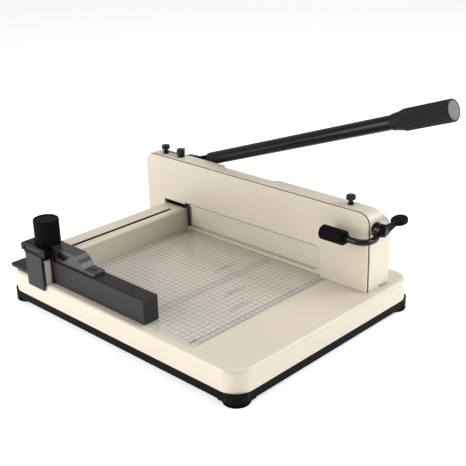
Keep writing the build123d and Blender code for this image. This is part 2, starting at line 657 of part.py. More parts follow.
PIN_KNOB_Z = HOUSE_TOP + 4.8
with BuildPart() as lock_pin:
    with BuildSketch(FLOOR.offset(PIN_KNOB_Z)):
        with Locations(PIN_PLACE):
            RegularPolygon(6.8, 6, major_radius=False)
    extrude(amount=9.5)
    with BuildSketch(FLOOR.offset(PIN_KNOB_Z)):
        with Locations(PIN_PLACE):
            Circle(PIN_R)
    extrude(amount=-(PIN_KNOB_Z - CAP_LOW_Z + 6.0))
    fillet(lock_pin.faces().sort_by(Axis.Z)[-1].edges(), 1.2)
save(lock_pin, "lock_pin")

# =====================================================================
# Lever: flat arm on the pivot, round tube, knurled grip
# =====================================================================
LEVER_COS = cos(radians(LEVER_ANGLE))
LEVER_SIN = sin(radians(LEVER_ANGLE))
TUBE_START = 57.0
TUBE_END = 470.0
TUBE_WALL = 2.0
GRIP_START = 451.0
GRIP_KNURL = 473.5
GRIP_END = 551.0
GRIP_R = 16.0
CAP_R = 13.8
TUBE_FOOT = (PIVOT_X, LEVER_Y, PIVOT_Z + TUBE_OFFSET / LEVER_COS)
LEVER_PLANE = Plane(origin=TUBE_FOOT, x_dir=(0, 1, 0), z_dir=(LEVER_COS, 0, LEVER_SIN))


def along(distance, rise=0.0):
    """Point (x, z) at a distance along the tube's axis from above the pivot, and rise above it."""
    x = TUBE_FOOT[0] + distance * LEVER_COS - rise * LEVER_SIN
    z = TUBE_FOOT[2] + distance * LEVER_SIN + rise * LEVER_COS
    return x, z


ARM_FRONT = Plane.XZ.offset(-(LEVER_Y - ARM_T / 2))
DRIVE_PIN = (
    PIVOT_X + DRIVE_RADIUS * cos(radians(DRIVE_ANGLE)),
    PIVOT_Z + DRIVE_RADIUS * sin(radians(DRIVE_ANGLE)),
)
PIVOT_BUSH_R = PIVOT_R + 2.0
with BuildPart() as lever_arm:
    with BuildSketch(ARM_FRONT):
        with Locations((PIVOT_X, PIVOT_Z)):
            Circle(17.0)
        with Locations(DRIVE_PIN):
            Circle(11.0)
        with BuildLine():
            Polyline(
                (PIVOT_X - 15.0, PIVOT_Z + 8.0), along(-16.0, 9.0), along(-8.0, 15.5),
                along(6.0, 15.0), along(30.0, 8.2), along(110.0, 8.2), along(110.0, -8.2),
                along(55.0, -8.2), (DRIVE_PIN[0] + 10.0, DRIVE_PIN[1] + 4.0),
                (DRIVE_PIN[0] - 3.0, DRIVE_PIN[1] - 10.6), (PIVOT_X - 4.0, PIVOT_Z - 16.5),
                close=True,
            )
        make_face()
        with Locations((PIVOT_X, PIVOT_Z)):
            Circle(PIVOT_BUSH_R, mode=Mode.SUBTRACT)
        with Locations(DRIVE_PIN):
            Circle(DRIVE_PIN_R, mode=Mode.SUBTRACT)
        with Locations(along(75.0), along(100.0)):
            Circle(3.0, mode=Mode.SUBTRACT)
    extrude(amount=-ARM_T)
save(lever_arm, "lever_arm")

with BuildPart() as lever_bush:
    with BuildSketch(Plane.XZ.offset(-(LEVER_Y - ARM_T / 2 - 0.6))):
        with Locations((PIVOT_X, PIVOT_Z)):
            Circle(PIVOT_BUSH_R)
            Circle(PIVOT_R + RUNNING, mode=Mode.SUBTRACT)
    extrude(amount=-(ARM_T + 1.0))
save(lever_bush, "lever_bush")

with BuildPart() as drive_pin:
    with BuildSketch(Plane.XZ.offset(-(CARRIER_Y - 0.2))):
        with Locations(DRIVE_PIN):
            Circle(DRIVE_PIN_R)
    extrude(amount=-(LEVER_Y + ARM_T / 2 - CARRIER_Y + 0.2))
    with BuildSketch(Plane.XZ.offset(-(LEVER_Y + ARM_T / 2))):
        with Locations(DRIVE_PIN):
            Circle(DRIVE_PIN_R + 2.0)
    extrude(amount=-2.5)
save(drive_pin, "drive_pin")

with BuildPart() as lever_tube:
    with BuildSketch(LEVER_PLANE.offset(TUBE_START)):
        Circle(TUBE_R)
        Circle(TUBE_R - TUBE_WALL, mode=Mode.SUBTRACT)
    extrude(amount=TUBE_END - TUBE_START)
    with BuildSketch(Plane.XZ.offset(-(LEVER_Y - TUBE_R - 1))):
        with Locations(along(75.0), along(100.0)):
            Circle(3.0)
    extrude(amount=-2 * (TUBE_R + 1), mode=Mode.SUBTRACT)
save(lever_tube, "lever_tube")

with BuildPart() as arm_rivets:
    with BuildSketch(Plane.XZ.offset(-(LEVER_Y - TUBE_R - 0.6))):
        with Locations(along(75.0), along(100.0)):
            Circle(3.0)
    extrude(amount=-2 * (TUBE_R + 0.6))
save(arm_rivets, "arm_rivets")

with BuildPart() as lever_grip:
    with BuildSketch(Plane.XZ) as grip_outline:
        with BuildLine():
            Polyline((TUBE_R, GRIP_START), (TUBE_R + 1.2, GRIP_START), (TUBE_R + 1.6, GRIP_START + 4))
            Line((TUBE_R + 1.6, GRIP_START + 4), (GRIP_R - 1.6, GRIP_KNURL - 6))
            Line((GRIP_R - 1.6, GRIP_KNURL - 6), (GRIP_R, GRIP_KNURL))
            Line((GRIP_R, GRIP_KNURL), (GRIP_R, GRIP_END - 1.4))
            Line((GRIP_R, GRIP_END - 1.4), (GRIP_R - 1.4, GRIP_END))
            Polyline((GRIP_R - 1.4, GRIP_END), (CAP_R, GRIP_END), (CAP_R, GRIP_END - 4.0))
            Polyline((CAP_R, GRIP_END - 4.0), (0, GRIP_END - 4.0), (0, TUBE_END), (TUBE_R, TUBE_END))
            Line((TUBE_R, TUBE_END), (TUBE_R, GRIP_START))
        make_face()
    revolve(grip_outline.sketch, axis=Axis.Z)
lever_grip.part = LEVER_PLANE.location * lever_grip.part
save(lever_grip, "lever_grip")

with BuildPart() as grip_end_cap:
    with BuildSketch(LEVER_PLANE.offset(GRIP_END - 4.0)):
        Circle(CAP_R)
    extrude(amount=4.2)
    fillet(grip_end_cap.edges().filter_by(GeomType.CIRCLE).sort_by(Axis.X)[-1], 1.5)
save(grip_end_cap, "grip_end_cap")

with BuildPart() as pivot_bolt:
    pivot_place = (PIVOT_X, PIVOT_Z)
    with BuildSketch(Plane.XZ.offset(-FRAME_Y)):
        with Locations(pivot_place):
            Circle(PIVOT_R)
    extrude(amount=-(LEVER_Y + ARM_T / 2 - FRAME_Y + 6.0))
save(pivot_bolt, "pivot_bolt")

with BuildPart() as pivot_nut:
    with BuildSketch(Plane.XZ.offset(-(LEVER_Y + ARM_T / 2 + 0.6))):
        with Locations(pivot_place):
            Circle(11.0)
            Circle(PIVOT_R, mode=Mode.SUBTRACT)
    extrude(amount=-0.8)
    with BuildSketch(Plane.XZ.offset(-(LEVER_Y + ARM_T / 2 + 1.4))):
        with Locations(pivot_place):
            RegularPolygon(9.5, 6, major_radius=False)
            Circle(PIVOT_R, mode=Mode.SUBTRACT)
    extrude(amount=-4.4)
save(pivot_nut, "pivot_nut")

# =====================================================================
# Blade and its carrier, which slides on a slant
# =====================================================================
CARRIER_X0 = LEFT + 26.0
CARRIER_X1 = LEFT + 450.0
CARRIER_Z0 = TABLE + 19.8
CARRIER_Z1 = TABLE + 83.8
BLADE_X0 = LEFT + 95.0
BLADE_X1 = LEFT + 409.0
BLADE_H = 50.0
BLADE_BOLT_XS = [LEFT + 115.0 + 68.0 * n for n in range(5)]
BLADE_BOLT_Z = BLADE_EDGE_Z + 38.0
BOLT_R = 3.0
BOLT_HEAD_R = 5.2
BOLT_HEAD_T = 2.2
SLANT = tan(radians(BLADE_TILT))
PIN_SLOT_Z = DRIVE_PIN[1] + 0.3


def guide_slot(x):
    """Slanted slot of the carrier, drawn round the guide bolt at x."""
    low = (x + SLANT * BLADE_RISE, GUIDE_Z - BLADE_RISE)
    high = (x - SLANT * BLADE_DROP, GUIDE_Z + BLADE_DROP)
    middle = ((low[0] + high[0]) / 2, (low[1] + high[1]) / 2)
    length = hypot(high[0] - low[0], high[1] - low[1])
    with Locations(Location(middle, 90 + BLADE_TILT)):
        SlotCenterToCenter(length, 2 * (GUIDE_R + 0.4), mode=Mode.SUBTRACT)


with BuildPart() as blade_carrier:
    with BuildSketch(Plane.XZ.offset(-CARRIER_Y)):
        with Locations(((CARRIER_X0 + CARRIER_X1) / 2, (CARRIER_Z0 + CARRIER_Z1) / 2)):
            RectangleRounded(CARRIER_X1 - CARRIER_X0, CARRIER_Z1 - CARRIER_Z0, 4.0)
        for guide_x in GUIDE_XS:
            guide_slot(guide_x)
        with Locations((LEFT + 119.3, PIN_SLOT_Z)):
            SlotCenterToCenter(19.5, 2 * (DRIVE_PIN_R + 0.9), mode=Mode.SUBTRACT)
        with Locations(*[(x, BLADE_BOLT_Z) for x in BLADE_BOLT_XS]):
            Circle(BOLT_R, mode=Mode.SUBTRACT)
    extrude(amount=-CARRIER_T)
save(blade_carrier, "blade_carrier")

with BuildPart() as blade:
    with BuildSketch(Plane.XZ.offset(-BLADE_FRONT_Y)):
        with Locations(((BLADE_X0 + BLADE_X1) / 2, BLADE_EDGE_Z + BLADE_H / 2)):
            Rectangle(BLADE_X1 - BLADE_X0, BLADE_H)
        with Locations(*[(x, BLADE_BOLT_Z) for x in BLADE_BOLT_XS]):
            Circle(BOLT_R, mode=Mode.SUBTRACT)
    extrude(amount=-BLADE_T)
    with BuildSketch(Plane.XZ.offset(-BLADE_FRONT_Y)):
        with Locations(*[(x, BLADE_BOLT_Z) for x in BLADE_BOLT_XS]):
            Circle(BOLT_HEAD_R)
    extrude(amount=-BOLT_HEAD_T, mode=Mode.SUBTRACT)
    with BuildSketch(Plane.YZ.offset(BLADE_X0)):
        back_y = BLADE_FRONT_Y + BLADE_T
        with BuildLine():
            Polyline(
                (BLADE_FRONT_Y + 0.2, BLADE_EDGE_Z), (back_y, BLADE_EDGE_Z + 11.0),
                (back_y + 1, BLADE_EDGE_Z + 11.0), (back_y + 1, BLADE_EDGE_Z - 1),
                (BLADE_FRONT_Y + 0.2, BLADE_EDGE_Z - 1), close=True,
            )
        make_face()
    extrude(amount=BLADE_X1 - BLADE_X0, mode=Mode.SUBTRACT)
save(blade, "blade")

with BuildPart() as blade_bolts:
    with BuildSketch(Plane.XZ.offset(-(BLADE_FRONT_Y + 0.2))):
        with Locations(*[(x, BLADE_BOLT_Z) for x in BLADE_BOLT_XS]):
            Circle(BOLT_HEAD_R - 0.2)
    extrude(amount=-(BOLT_HEAD_T - 0.2))
    with BuildSketch(Plane.XZ.offset(-(BLADE_FRONT_Y + BOLT_HEAD_T))):
        with Locations(*[(x, BLADE_BOLT_Z) for x in BLADE_BOLT_XS]):
            Circle(BOLT_R - 0.1)
    extrude(amount=-(CARRIER_Y + CARRIER_T - BLADE_FRONT_Y - BOLT_HEAD_T))
save(blade_bolts, "blade_bolts")

# =====================================================================
# Clamp: beam with two racks, clamp shaft with pinions, gear train
# =====================================================================
RACK_BACK = POST_Y0 + 0.6
PITCH_Y = SHAFT_Y - PINION_R
TOOTH_PITCH = pi * GEAR_MODULE
ADDENDUM = 0.9 * GEAR_MODULE
DEDENDUM = 1.15 * GEAR_MODULE
LIP_H = 6.3
LIP_GROOVE_H = 3.6
LIP_GROOVE_T = 1.4
BEAM_FACE_T = 3.0
TEETH_BELOW = 12
TEETH_ABOVE = 2

with BuildPart() as clamp_beam:
    beam_x0 = RACK_XS[0] + RACK_W
    beam_x1 = RACK_XS[1]
    lip_x1 = RACK_XS[1] + RACK_W
    lip_y0 = POST_Y0 + 0.8
    box_between(RACK_XS[0], lip_x1, lip_y0, CLAMP_BACK_Y, CLAMP_LOW_Z, CLAMP_LOW_Z + LIP_H)
    box_between(beam_x0, beam_x1, CLAMP_BACK_Y - BEAM_FACE_T, CLAMP_BACK_Y, CLAMP_LOW_Z, CLAMP_TOP_Z)
    box_between(beam_x0, beam_x1, lip_y0, CLAMP_BACK_Y, CLAMP_TOP_Z - BEAM_FACE_T, CLAMP_TOP_Z)
    # Groove along the foot of the face, above the lip.
    box_between(
        beam_x0 - 0.1, beam_x1 + 0.1, CLAMP_BACK_Y - BEAM_FACE_T - 1.0,
        CLAMP_BACK_Y - BEAM_FACE_T + LIP_GROOVE_T, CLAMP_LOW_Z + LIP_H,
        CLAMP_LOW_Z + LIP_H + LIP_GROOVE_H, Mode.SUBTRACT,
    )
    long_edges = clamp_beam.edges().filter_by(Axis.X).filter_by(lambda e: e.length > 250)
    fillet(long_edges.group_by(Axis.Z)[-1].sort_by(Axis.Y)[0], 1.2)
save(clamp_beam, "clamp_beam")


def rack_outline():
    """Rack seen along X: its back, and teeth whose gap faces the pinion's first tooth."""
    half = TOOTH_PITCH / 4 - BACKLASH / 4
    slope = tan(PRESSURE_ANGLE)
    points = [(RACK_BACK, CLAMP_LOW_Z + LIP_H)]
    for n in range(-TEETH_BELOW, TEETH_ABOVE):
        middle = CLAMP_SHAFT_Z + (n + 0.5) * TOOTH_PITCH
        points.append((PITCH_Y - DEDENDUM, middle - half - slope * DEDENDUM))
        points.append((PITCH_Y + ADDENDUM, middle - half + slope * ADDENDUM))
        points.append((PITCH_Y + ADDENDUM, middle + half - slope * ADDENDUM))
        points.append((PITCH_Y - DEDENDUM, middle + half + slope * DEDENDUM))
    points.insert(1, (PITCH_Y - DEDENDUM, CLAMP_LOW_Z + LIP_H))
    points.append((PITCH_Y - DEDENDUM, TABLE + 70.0))
    points.append((RACK_BACK, TABLE + 70.0))
    return points


with BuildPart() as clamp_racks:
    for x in RACK_XS:
        with BuildSketch(Plane.YZ.offset(x)):
            with BuildLine():
                Polyline(*rack_outline(), close=True)
            make_face()
        extrude(amount=RACK_W)
save(clamp_racks, "clamp_racks")


def gear(label, teeth, first_tooth, y, z, x, width, bore):
    """A spur gear on an axis along X."""
    with BuildPart() as wheel:
        with BuildSketch(Plane.YZ.offset(x)) as face:
            with BuildLine():
                Polyline(*gear_outline(teeth, first_tooth, (y, z)), close=True)
            make_face()
            with Locations((y, z)):
                Circle(bore, mode=Mode.SUBTRACT)
        extrude(face.sketch, amount=width)
    if label:
        save(wheel, label)
    return wheel.part


HALF_PITCH = 180 / GEAR_TEETH
gear("drive_gear", GEAR_TEETH, 270, SHAFT_Y, DRIVE_Z, GEAR_X, GEAR_W, DRIVE_SHAFT_R)
gear("idler_gear", GEAR_TEETH, 90 + HALF_PITCH, SHAFT_Y, IDLER_Z, GEAR_X, GEAR_W,
     SHAFT_R - 1.0 + RUNNING)
gear("clamp_gear", GEAR_TEETH, 90, SHAFT_Y, CLAMP_SHAFT_Z, GEAR_X, GEAR_W, SHAFT_R)

pinions = [
    gear(None, PINION_TEETH, 180, SHAFT_Y, CLAMP_SHAFT_Z, x + 0.5, RACK_W - 1.0, SHAFT_R)
    for x in RACK_XS
]
with BuildPart() as clamp_pinions:
    add(pinions)
save(clamp_pinions, "clamp_pinions")

with BuildPart() as clamp_shaft:
    bore_x(LEFT + 39.0, LEFT + 473.0, SHAFT_Y, CLAMP_SHAFT_Z, SHAFT_R, Mode.ADD)
save(clamp_shaft, "clamp_shaft")

SHAFT_END_X = LEFT + 514.0
HUB_WASHER_R = 6.6
HUB_WASHER_T = 0.8
with BuildPart() as drive_shaft:
    bore_x(GEAR_X - 2.0, SHAFT_END_X, SHAFT_Y, DRIVE_Z, DRIVE_SHAFT_R, Mode.ADD)
save(drive_shaft, "drive_shaft")

with BuildPart() as hub_bolt:
    bore_x(SHAFT_END_X, SHAFT_END_X + HUB_WASHER_T, SHAFT_Y, DRIVE_Z, HUB_WASHER_R, Mode.ADD)
    with BuildSketch(Plane.YZ.offset(SHAFT_END_X + HUB_WASHER_T)):
        with Locations((SHAFT_Y, DRIVE_Z)):
            RegularPolygon(4.6, 6, major_radius=False)
    extrude(amount=2.4)
save(hub_bolt, "hub_bolt")

RATCHET_TEETH = 18
RATCHET_R = 10.6
with BuildPart() as ratchet_wheel:
    with BuildSketch(Plane.YZ.offset(HOUSE_X1 + 0.8)):
        with BuildLine():
            step = 2 * pi / RATCHET_TEETH
            saw = []
            for n in range(RATCHET_TEETH):
                for r, a in ((RATCHET_R, n * step), (RATCHET_R - 1.8, n * step + 0.05)):
                    saw.append((SHAFT_Y + r * cos(a), DRIVE_Z + r * sin(a)))
            Polyline(*saw, close=True)
        make_face()
        with Locations((SHAFT_Y, DRIVE_Z)):
            Circle(DRIVE_SHAFT_R, mode=Mode.SUBTRACT)
    extrude(amount=3.0)
save(ratchet_wheel, "ratchet_wheel")

# Clamp handle: hub on the drive shaft, bent rod, fluted grip in front of the plate.
HUB_X = LEFT + 500.2
HUB_W = 8.8
ROD_R = 4.8
ROD_X = LEFT + 504.2
GRIP_Y = FRONT + 275.0
GRIP_Z = TABLE + 90.3
CLAMP_GRIP_X0 = LEFT + 428.0
CLAMP_GRIP_X1 = LEFT + 470.0
CLAMP_GRIP_R = 11.3
with BuildPart() as clamp_handle_arm:
    with BuildLine() as rod_line:
        FilletPolyline(
            (CLAMP_GRIP_X0 + 10.0, GRIP_Y, GRIP_Z), (ROD_X, GRIP_Y, GRIP_Z),
            (ROD_X, FRONT + 301.0, TABLE + 88.5), (ROD_X, SHAFT_Y - 4.0, DRIVE_Z - 5.0),
            radius=(16.0, 7.0),
        )
    with BuildSketch(Plane(rod_line.line @ 0, z_dir=rod_line.line % 0)):
        Circle(ROD_R)
    sweep(path=rod_line.line)
    bore_x(HUB_X, HUB_X + HUB_W, SHAFT_Y, DRIVE_Z, 10.0, Mode.ADD)
    bore_x(HUB_X - 2, HUB_X + HUB_W + 2, SHAFT_Y, DRIVE_Z, DRIVE_SHAFT_R + RUNNING)
save(clamp_handle_arm, "clamp_handle_arm")

FLUTES = 16
FLUTE_R = 1.3
with BuildPart() as clamp_grip:
    with BuildSketch(Plane.YZ.offset(CLAMP_GRIP_X0)):
        with Locations((GRIP_Y, GRIP_Z)):
            Circle(CLAMP_GRIP_R)
    extrude(amount=CLAMP_GRIP_X1 - CLAMP_GRIP_X0)
    chamfer(clamp_grip.edges().filter_by(GeomType.CIRCLE), 1.6)
    bore_x(CLAMP_GRIP_X1, CLAMP_GRIP_X1 + 5.0, GRIP_Y, GRIP_Z, 6.5, Mode.ADD)
    bore_x(CLAMP_GRIP_X0 + 10.0, CLAMP_GRIP_X1 + 6.0, GRIP_Y, GRIP_Z, ROD_R)
    with BuildSketch(Plane.YZ.offset(CLAMP_GRIP_X0 + 2.5)) as grooves:
        with Locations((GRIP_Y, GRIP_Z)):
            with PolarLocations(CLAMP_GRIP_R + 0.2, FLUTES):
                Circle(FLUTE_R)
    extrude(grooves.sketch, amount=CLAMP_GRIP_X1 - CLAMP_GRIP_X0 - 5.0, mode=Mode.SUBTRACT)
save(clamp_grip, "clamp_grip")

# Release paddle behind the hub: pressed with the thumb, it lifts the pawl off the ratchet.
PADDLE_X = HUB_X + HUB_W + 0.5
PADDLE_W = 4.0
PADDLE_Y = FRONT + 354.0
PADDLE_Z = TABLE + 106.5
PAD_RX = 12.6
PAD_RY = 14.0
PAD_T = 6.0
PAD_TILT = radians(9)
with BuildPart() as release_paddle:
    pad_plane = Plane(
        origin=(PADDLE_X + 0.6, PADDLE_Y, PADDLE_Z - 4.0),
        x_dir=(1, 0, 0), z_dir=(0, -sin(PAD_TILT), cos(PAD_TILT)),
    )
    with BuildSketch(pad_plane):
        Ellipse(PAD_RX, PAD_RY)
    extrude(amount=PAD_T)
    chamfer(release_paddle.faces().sort_by(Axis.Z)[-1].edges(), 1.6)
    bore_x(PADDLE_X, PADDLE_X + PADDLE_W, SHAFT_Y, DRIVE_Z, 9.0, Mode.ADD)
    with BuildSketch(Plane.YZ.offset(PADDLE_X)):
        with BuildLine():
            Polyline(
                (SHAFT_Y, DRIVE_Z + 8.0), (PADDLE_Y - 8.0, PADDLE_Z + 0.5),
                (PADDLE_Y - 6.0, PADDLE_Z - 4.0), (SHAFT_Y + 18.0, DRIVE_Z - 3.0),
                (SHAFT_Y, DRIVE_Z - 8.5), close=True,
            )
        make_face()
    extrude(amount=PADDLE_W)
    bore_x(PADDLE_X - 1, PADDLE_X + PADDLE_W + 1, SHAFT_Y, DRIVE_Z, DRIVE_SHAFT_R + RUNNING)
save(release_paddle, "release_paddle")

# =====================================================================
# Back gauge: saddle on the fence, bar over the table, clamping knob
# =====================================================================
SADDLE_X0 = LEFT + 51.0
JAW_X1 = LEFT + 112.0
JAW_Y0 = FRONT + 11.0
JAW_TOP = TABLE + 56.0
GAUGE_CLEAR = 0.5
SCREW_R = 2.4
KNOB_X = SLOT_X
KNOB_ROOM = 0.8
GAUGE_Y1 = GAUGE_Y + GAUGE_W
BAR_Y0 = FRONT + 12.0
BAR_Y1 = FRONT + 39.5
BAR_H = 38.5
BAR_Z0 = TABLE + 1.0
# The saddle's front wall stands up before the knob and reaches over the fence's end cap.
WALL_Y0 = FRONT - 3.5
WALL_Y1 = FRONT + 2.5
NOSE_LOW = TABLE + 48.2
RECESS_X0 = LEFT + 58.5
RECESS_X1 = LEFT + 100.0
RECESS_DEPTH = 1.6
with BuildPart() as gauge_saddle:
    fence_top_z = TABLE + FENCE_H + GAUGE_CLEAR
    saddle_x1 = FENCE_X1 + GAUGE_CLEAR
    box_between(SADDLE_X0, saddle_x1, WALL_Y0, GAUGE_Y1, NOSE_LOW, SADDLE_TOP)
    fillet(gauge_saddle.edges().filter_by(Axis.Y).group_by(Axis.Z)[-1].sort_by(Axis.X)[0], 6.0)
    with BuildSketch(Plane.XZ.offset(-WALL_Y0)):
        with Locations(((RECESS_X0 + RECESS_X1) / 2, NOSE_LOW + 5.2)):
            RectangleRounded(RECESS_X1 - RECESS_X0, 7.6, 3.7)
    extrude(amount=-RECESS_DEPTH, mode=Mode.SUBTRACT)
    box_between(SADDLE_X0, saddle_x1, GAUGE_Y, GAUGE_Y1, fence_top_z, NOSE_LOW)
    box_between(
        SADDLE_X0, FENCE_X0 - GAUGE_CLEAR, GAUGE_Y + 4.0, GAUGE_Y1, TABLE + 5.5, fence_top_z
    )
    # The saddle's front runs on over the jaw, as far as the bar.
    box_between(saddle_x1, JAW_X1, WALL_Y0, WALL_Y1, NOSE_LOW, SADDLE_TOP)
    bore_z((KNOB_X, KNOB_Y), SADDLE_TOP + 1.0, SADDLE_TOP + 1.0 - SEAT_TOP, KNOB_R + KNOB_ROOM)
    bore_z((KNOB_X, KNOB_Y), SADDLE_TOP, 30.0, SCREW_R + RUNNING)
save(gauge_saddle, "gauge_saddle")

with BuildPart() as gauge_jaw:
    jaw_x0 = FENCE_X1 + GAUGE_CLEAR
    box_between(jaw_x0, JAW_X1, JAW_Y0, GAUGE_Y1, BAR_Z0, JAW_TOP)
    fillet(gauge_jaw.edges().filter_by(Axis.Z).group_by(Axis.Y)[0], 1.5)
    # Cheek that carries the jaw's front up to the saddle's wall.
    box_between(jaw_x0 + 3.0, JAW_X1 - 0.5, WALL_Y1, JAW_Y0 + 2.0, NOSE_LOW, JAW_TOP)
    bore_z((KNOB_X, KNOB_Y), JAW_TOP + 1.0, JAW_TOP + 1.0 - SEAT_TOP, KNOB_R + KNOB_ROOM)
save(gauge_jaw, "gauge_jaw")

with BuildPart() as gauge_outer_plate:
    box_between(LEFT - 1.0, FENCE_X0 - GAUGE_CLEAR, FRONT + 5.0, GAUGE_Y1, TABLE + 1.2, TABLE + 5.5)
    fillet(gauge_outer_plate.edges().filter_by(Axis.Z).group_by(Axis.X)[0], 4.0)
save(gauge_outer_plate, "gauge_outer_plate")

# The bar's top has a low step along its front edge.
BAR_STEP_W = 3.0
BAR_STEP_H = 0.9
with BuildPart() as gauge_bar:
    box_between(JAW_X1, BAR_X1, BAR_Y0, BAR_Y1, BAR_Z0, BAR_Z0 + BAR_H)
    box_between(
        JAW_X1 - 1, BAR_X1 + 1, BAR_Y0 - 1, BAR_Y0 + BAR_STEP_W, BAR_Z0 + BAR_H - BAR_STEP_H,
        BAR_Z0 + BAR_H + 1, Mode.SUBTRACT,
    )
    fillet(gauge_bar.edges().filter_by(Axis.X).group_by(Axis.Z)[-1], 0.5)
    fillet(gauge_bar.edges().filter_by(Axis.X).group_by(Axis.Y)[0], 0.5)
save(gauge_bar, "gauge_bar")

BRACKET_X0 = FENCE_X1 + 1.5
BRACKET_Y0 = FRONT + 15.5
BRACKET_Y1 = FRONT + 38.0
BRACKET_LOW = BAR_Z0 + BAR_H + 0.1
BRACKET_PAD_Z = BRACKET_LOW + 4.6
CREST_X = LEFT + 161.0
SLOPE_FOOT_X = LEFT + 181.0
FOOT_X1 = LEFT + 209.0
BRACKET_SCREW = (LEFT + 195.0, (BRACKET_Y0 + BRACKET_Y1) / 2)
HEAD_T = 1.8
with BuildPart() as gauge_bracket:
    with BuildSketch(Plane.XZ.offset(-BRACKET_Y0)):
        with BuildLine():
            Polyline(
                (CREST_X, SADDLE_TOP), (BRACKET_X0, SADDLE_TOP), (BRACKET_X0, JAW_TOP + 0.1),
                (JAW_X1 + 0.3, JAW_TOP + 0.1), (JAW_X1 + 0.3, BRACKET_LOW),
                (FOOT_X1, BRACKET_LOW), (FOOT_X1, BRACKET_PAD_Z), (SLOPE_FOOT_X, BRACKET_PAD_Z),
            )
            ThreePointArc(
                (CREST_X, SADDLE_TOP), (LEFT + 173.0, TABLE + 54.9), (SLOPE_FOOT_X, BRACKET_PAD_Z)
            )
        make_face()
    extrude(amount=-(BRACKET_Y1 - BRACKET_Y0))
    foot_corners = gauge_bracket.edges().filter_by(Axis.Z).group_by(Axis.X)[-1]
    fillet(foot_corners, 5.0)
    # Pocket that thins the web on the operator's side.
    with BuildSketch(Plane.XZ.offset(-BRACKET_Y0)):
        with BuildLine():
            Polyline(
                (LEFT + 117.5, TABLE + 57.0), (LEFT + 117.5, TABLE + 46.0),
                (LEFT + 134.0, TABLE + 43.5), (LEFT + 152.0, TABLE + 56.0), close=True,
            )
        make_face()
    extrude(amount=-7.0, mode=Mode.SUBTRACT)
    bore_z((KNOB_X, KNOB_Y), SADDLE_TOP + 1.0, SADDLE_TOP + 1.0 - JAW_TOP, KNOB_R + KNOB_ROOM)
    bore_z(BRACKET_SCREW, BRACKET_LOW + 5.0, 6.0, 2.2)
    bore_z(BRACKET_SCREW, BRACKET_PAD_Z + 1.0, HEAD_T + 1.2, 4.3)
save(gauge_bracket, "gauge_bracket")

with BuildPart() as bracket_screw:
    with BuildSketch(FLOOR.offset(BRACKET_PAD_Z - HEAD_T)):
        with Locations(BRACKET_SCREW):
            Circle(4.1)
    extrude(amount=HEAD_T)
    with BuildSketch(FLOOR.offset(BRACKET_LOW)):
        with Locations(BRACKET_SCREW):
            Circle(2.1)
    extrude(amount=BRACKET_PAD_Z - HEAD_T - BRACKET_LOW)
save(bracket_screw, "bracket_screw")

NUT_Z = TABLE + 31.2
with BuildPart() as gauge_nut:
    box_between(KNOB_X - 9.0, KNOB_X + 9.0, KNOB_Y - 11.0, KNOB_Y + 11.0, NUT_Z, NUT_Z + 6.0)
    bore_z((KNOB_X, KNOB_Y), NUT_Z + 7.0, 8.0, SCREW_R + RUNNING)
save(gauge_nut, "gauge_nut")

with BuildPart() as gauge_knob:
    with BuildSketch(FLOOR.offset(SEAT_TOP + 0.5)):
        with Locations((KNOB_X, KNOB_Y)):
            Circle(KNOB_R)
    extrude(amount=KNOB_H)
    fillet(gauge_knob.faces().sort_by(Axis.Z)[-1].edges(), 1.5)
    with BuildSketch(FLOOR.offset(SEAT_TOP + KNOB_H - 0.5)):
        with Locations((KNOB_X, KNOB_Y)):
            Circle(KNOB_R - 4.0)
    extrude(amount=2.0, mode=Mode.SUBTRACT)
    with BuildSketch(FLOOR.offset(SEAT_TOP + 3.0)) as knob_grooves:
        with Locations((KNOB_X, KNOB_Y)):
            with PolarLocations(KNOB_R + 0.6, 24):
                Circle(1.5)
    extrude(knob_grooves.sketch, amount=KNOB_H, mode=Mode.SUBTRACT)
    bore_z((KNOB_X, KNOB_Y), SEAT_TOP + 20.0, 20.0, SCREW_R)
save(gauge_knob, "gauge_knob")

with BuildPart() as gauge_clamp_screw:
    with BuildSketch(FLOOR.offset(NUT_Z - 3.0)):
        with Locations((KNOB_X, KNOB_Y)):
            Circle(SCREW_R)
    extrude(amount=SEAT_TOP + 20.0 - NUT_Z + 3.0)
save(gauge_clamp_screw, "gauge_clamp_screw")
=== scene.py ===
import math
import bmesh
import bpy
from mathutils import Matrix, Vector


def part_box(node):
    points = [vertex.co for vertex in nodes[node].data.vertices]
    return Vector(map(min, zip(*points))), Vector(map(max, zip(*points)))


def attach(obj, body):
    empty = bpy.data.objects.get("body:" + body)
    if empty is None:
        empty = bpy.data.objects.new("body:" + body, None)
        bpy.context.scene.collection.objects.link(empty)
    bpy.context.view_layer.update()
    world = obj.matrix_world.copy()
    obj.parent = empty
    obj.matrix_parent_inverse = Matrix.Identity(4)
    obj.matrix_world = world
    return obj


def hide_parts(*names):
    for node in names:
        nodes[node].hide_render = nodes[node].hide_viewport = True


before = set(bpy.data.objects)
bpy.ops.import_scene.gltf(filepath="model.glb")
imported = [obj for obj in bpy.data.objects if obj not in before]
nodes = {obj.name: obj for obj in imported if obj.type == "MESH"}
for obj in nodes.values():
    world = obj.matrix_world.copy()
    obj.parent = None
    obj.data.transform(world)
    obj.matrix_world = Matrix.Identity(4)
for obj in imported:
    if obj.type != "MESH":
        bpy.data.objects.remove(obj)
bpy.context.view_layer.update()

scene = bpy.context.scene

# ---------------------------------------------------------------------
# The room: a pale floor in a light room, three soft boxes and the camera.
# Nothing here belongs to the machine.
# ---------------------------------------------------------------------
scene.view_settings.view_transform = "Standard"
room = bpy.data.worlds.new("light_room")
room.use_nodes = True
room.node_tree.nodes["Background"].inputs["Color"].default_value = (1.0, 1.0, 1.0, 1.0)
room.node_tree.nodes["Background"].inputs["Strength"].default_value = 0.5
scene.world = room

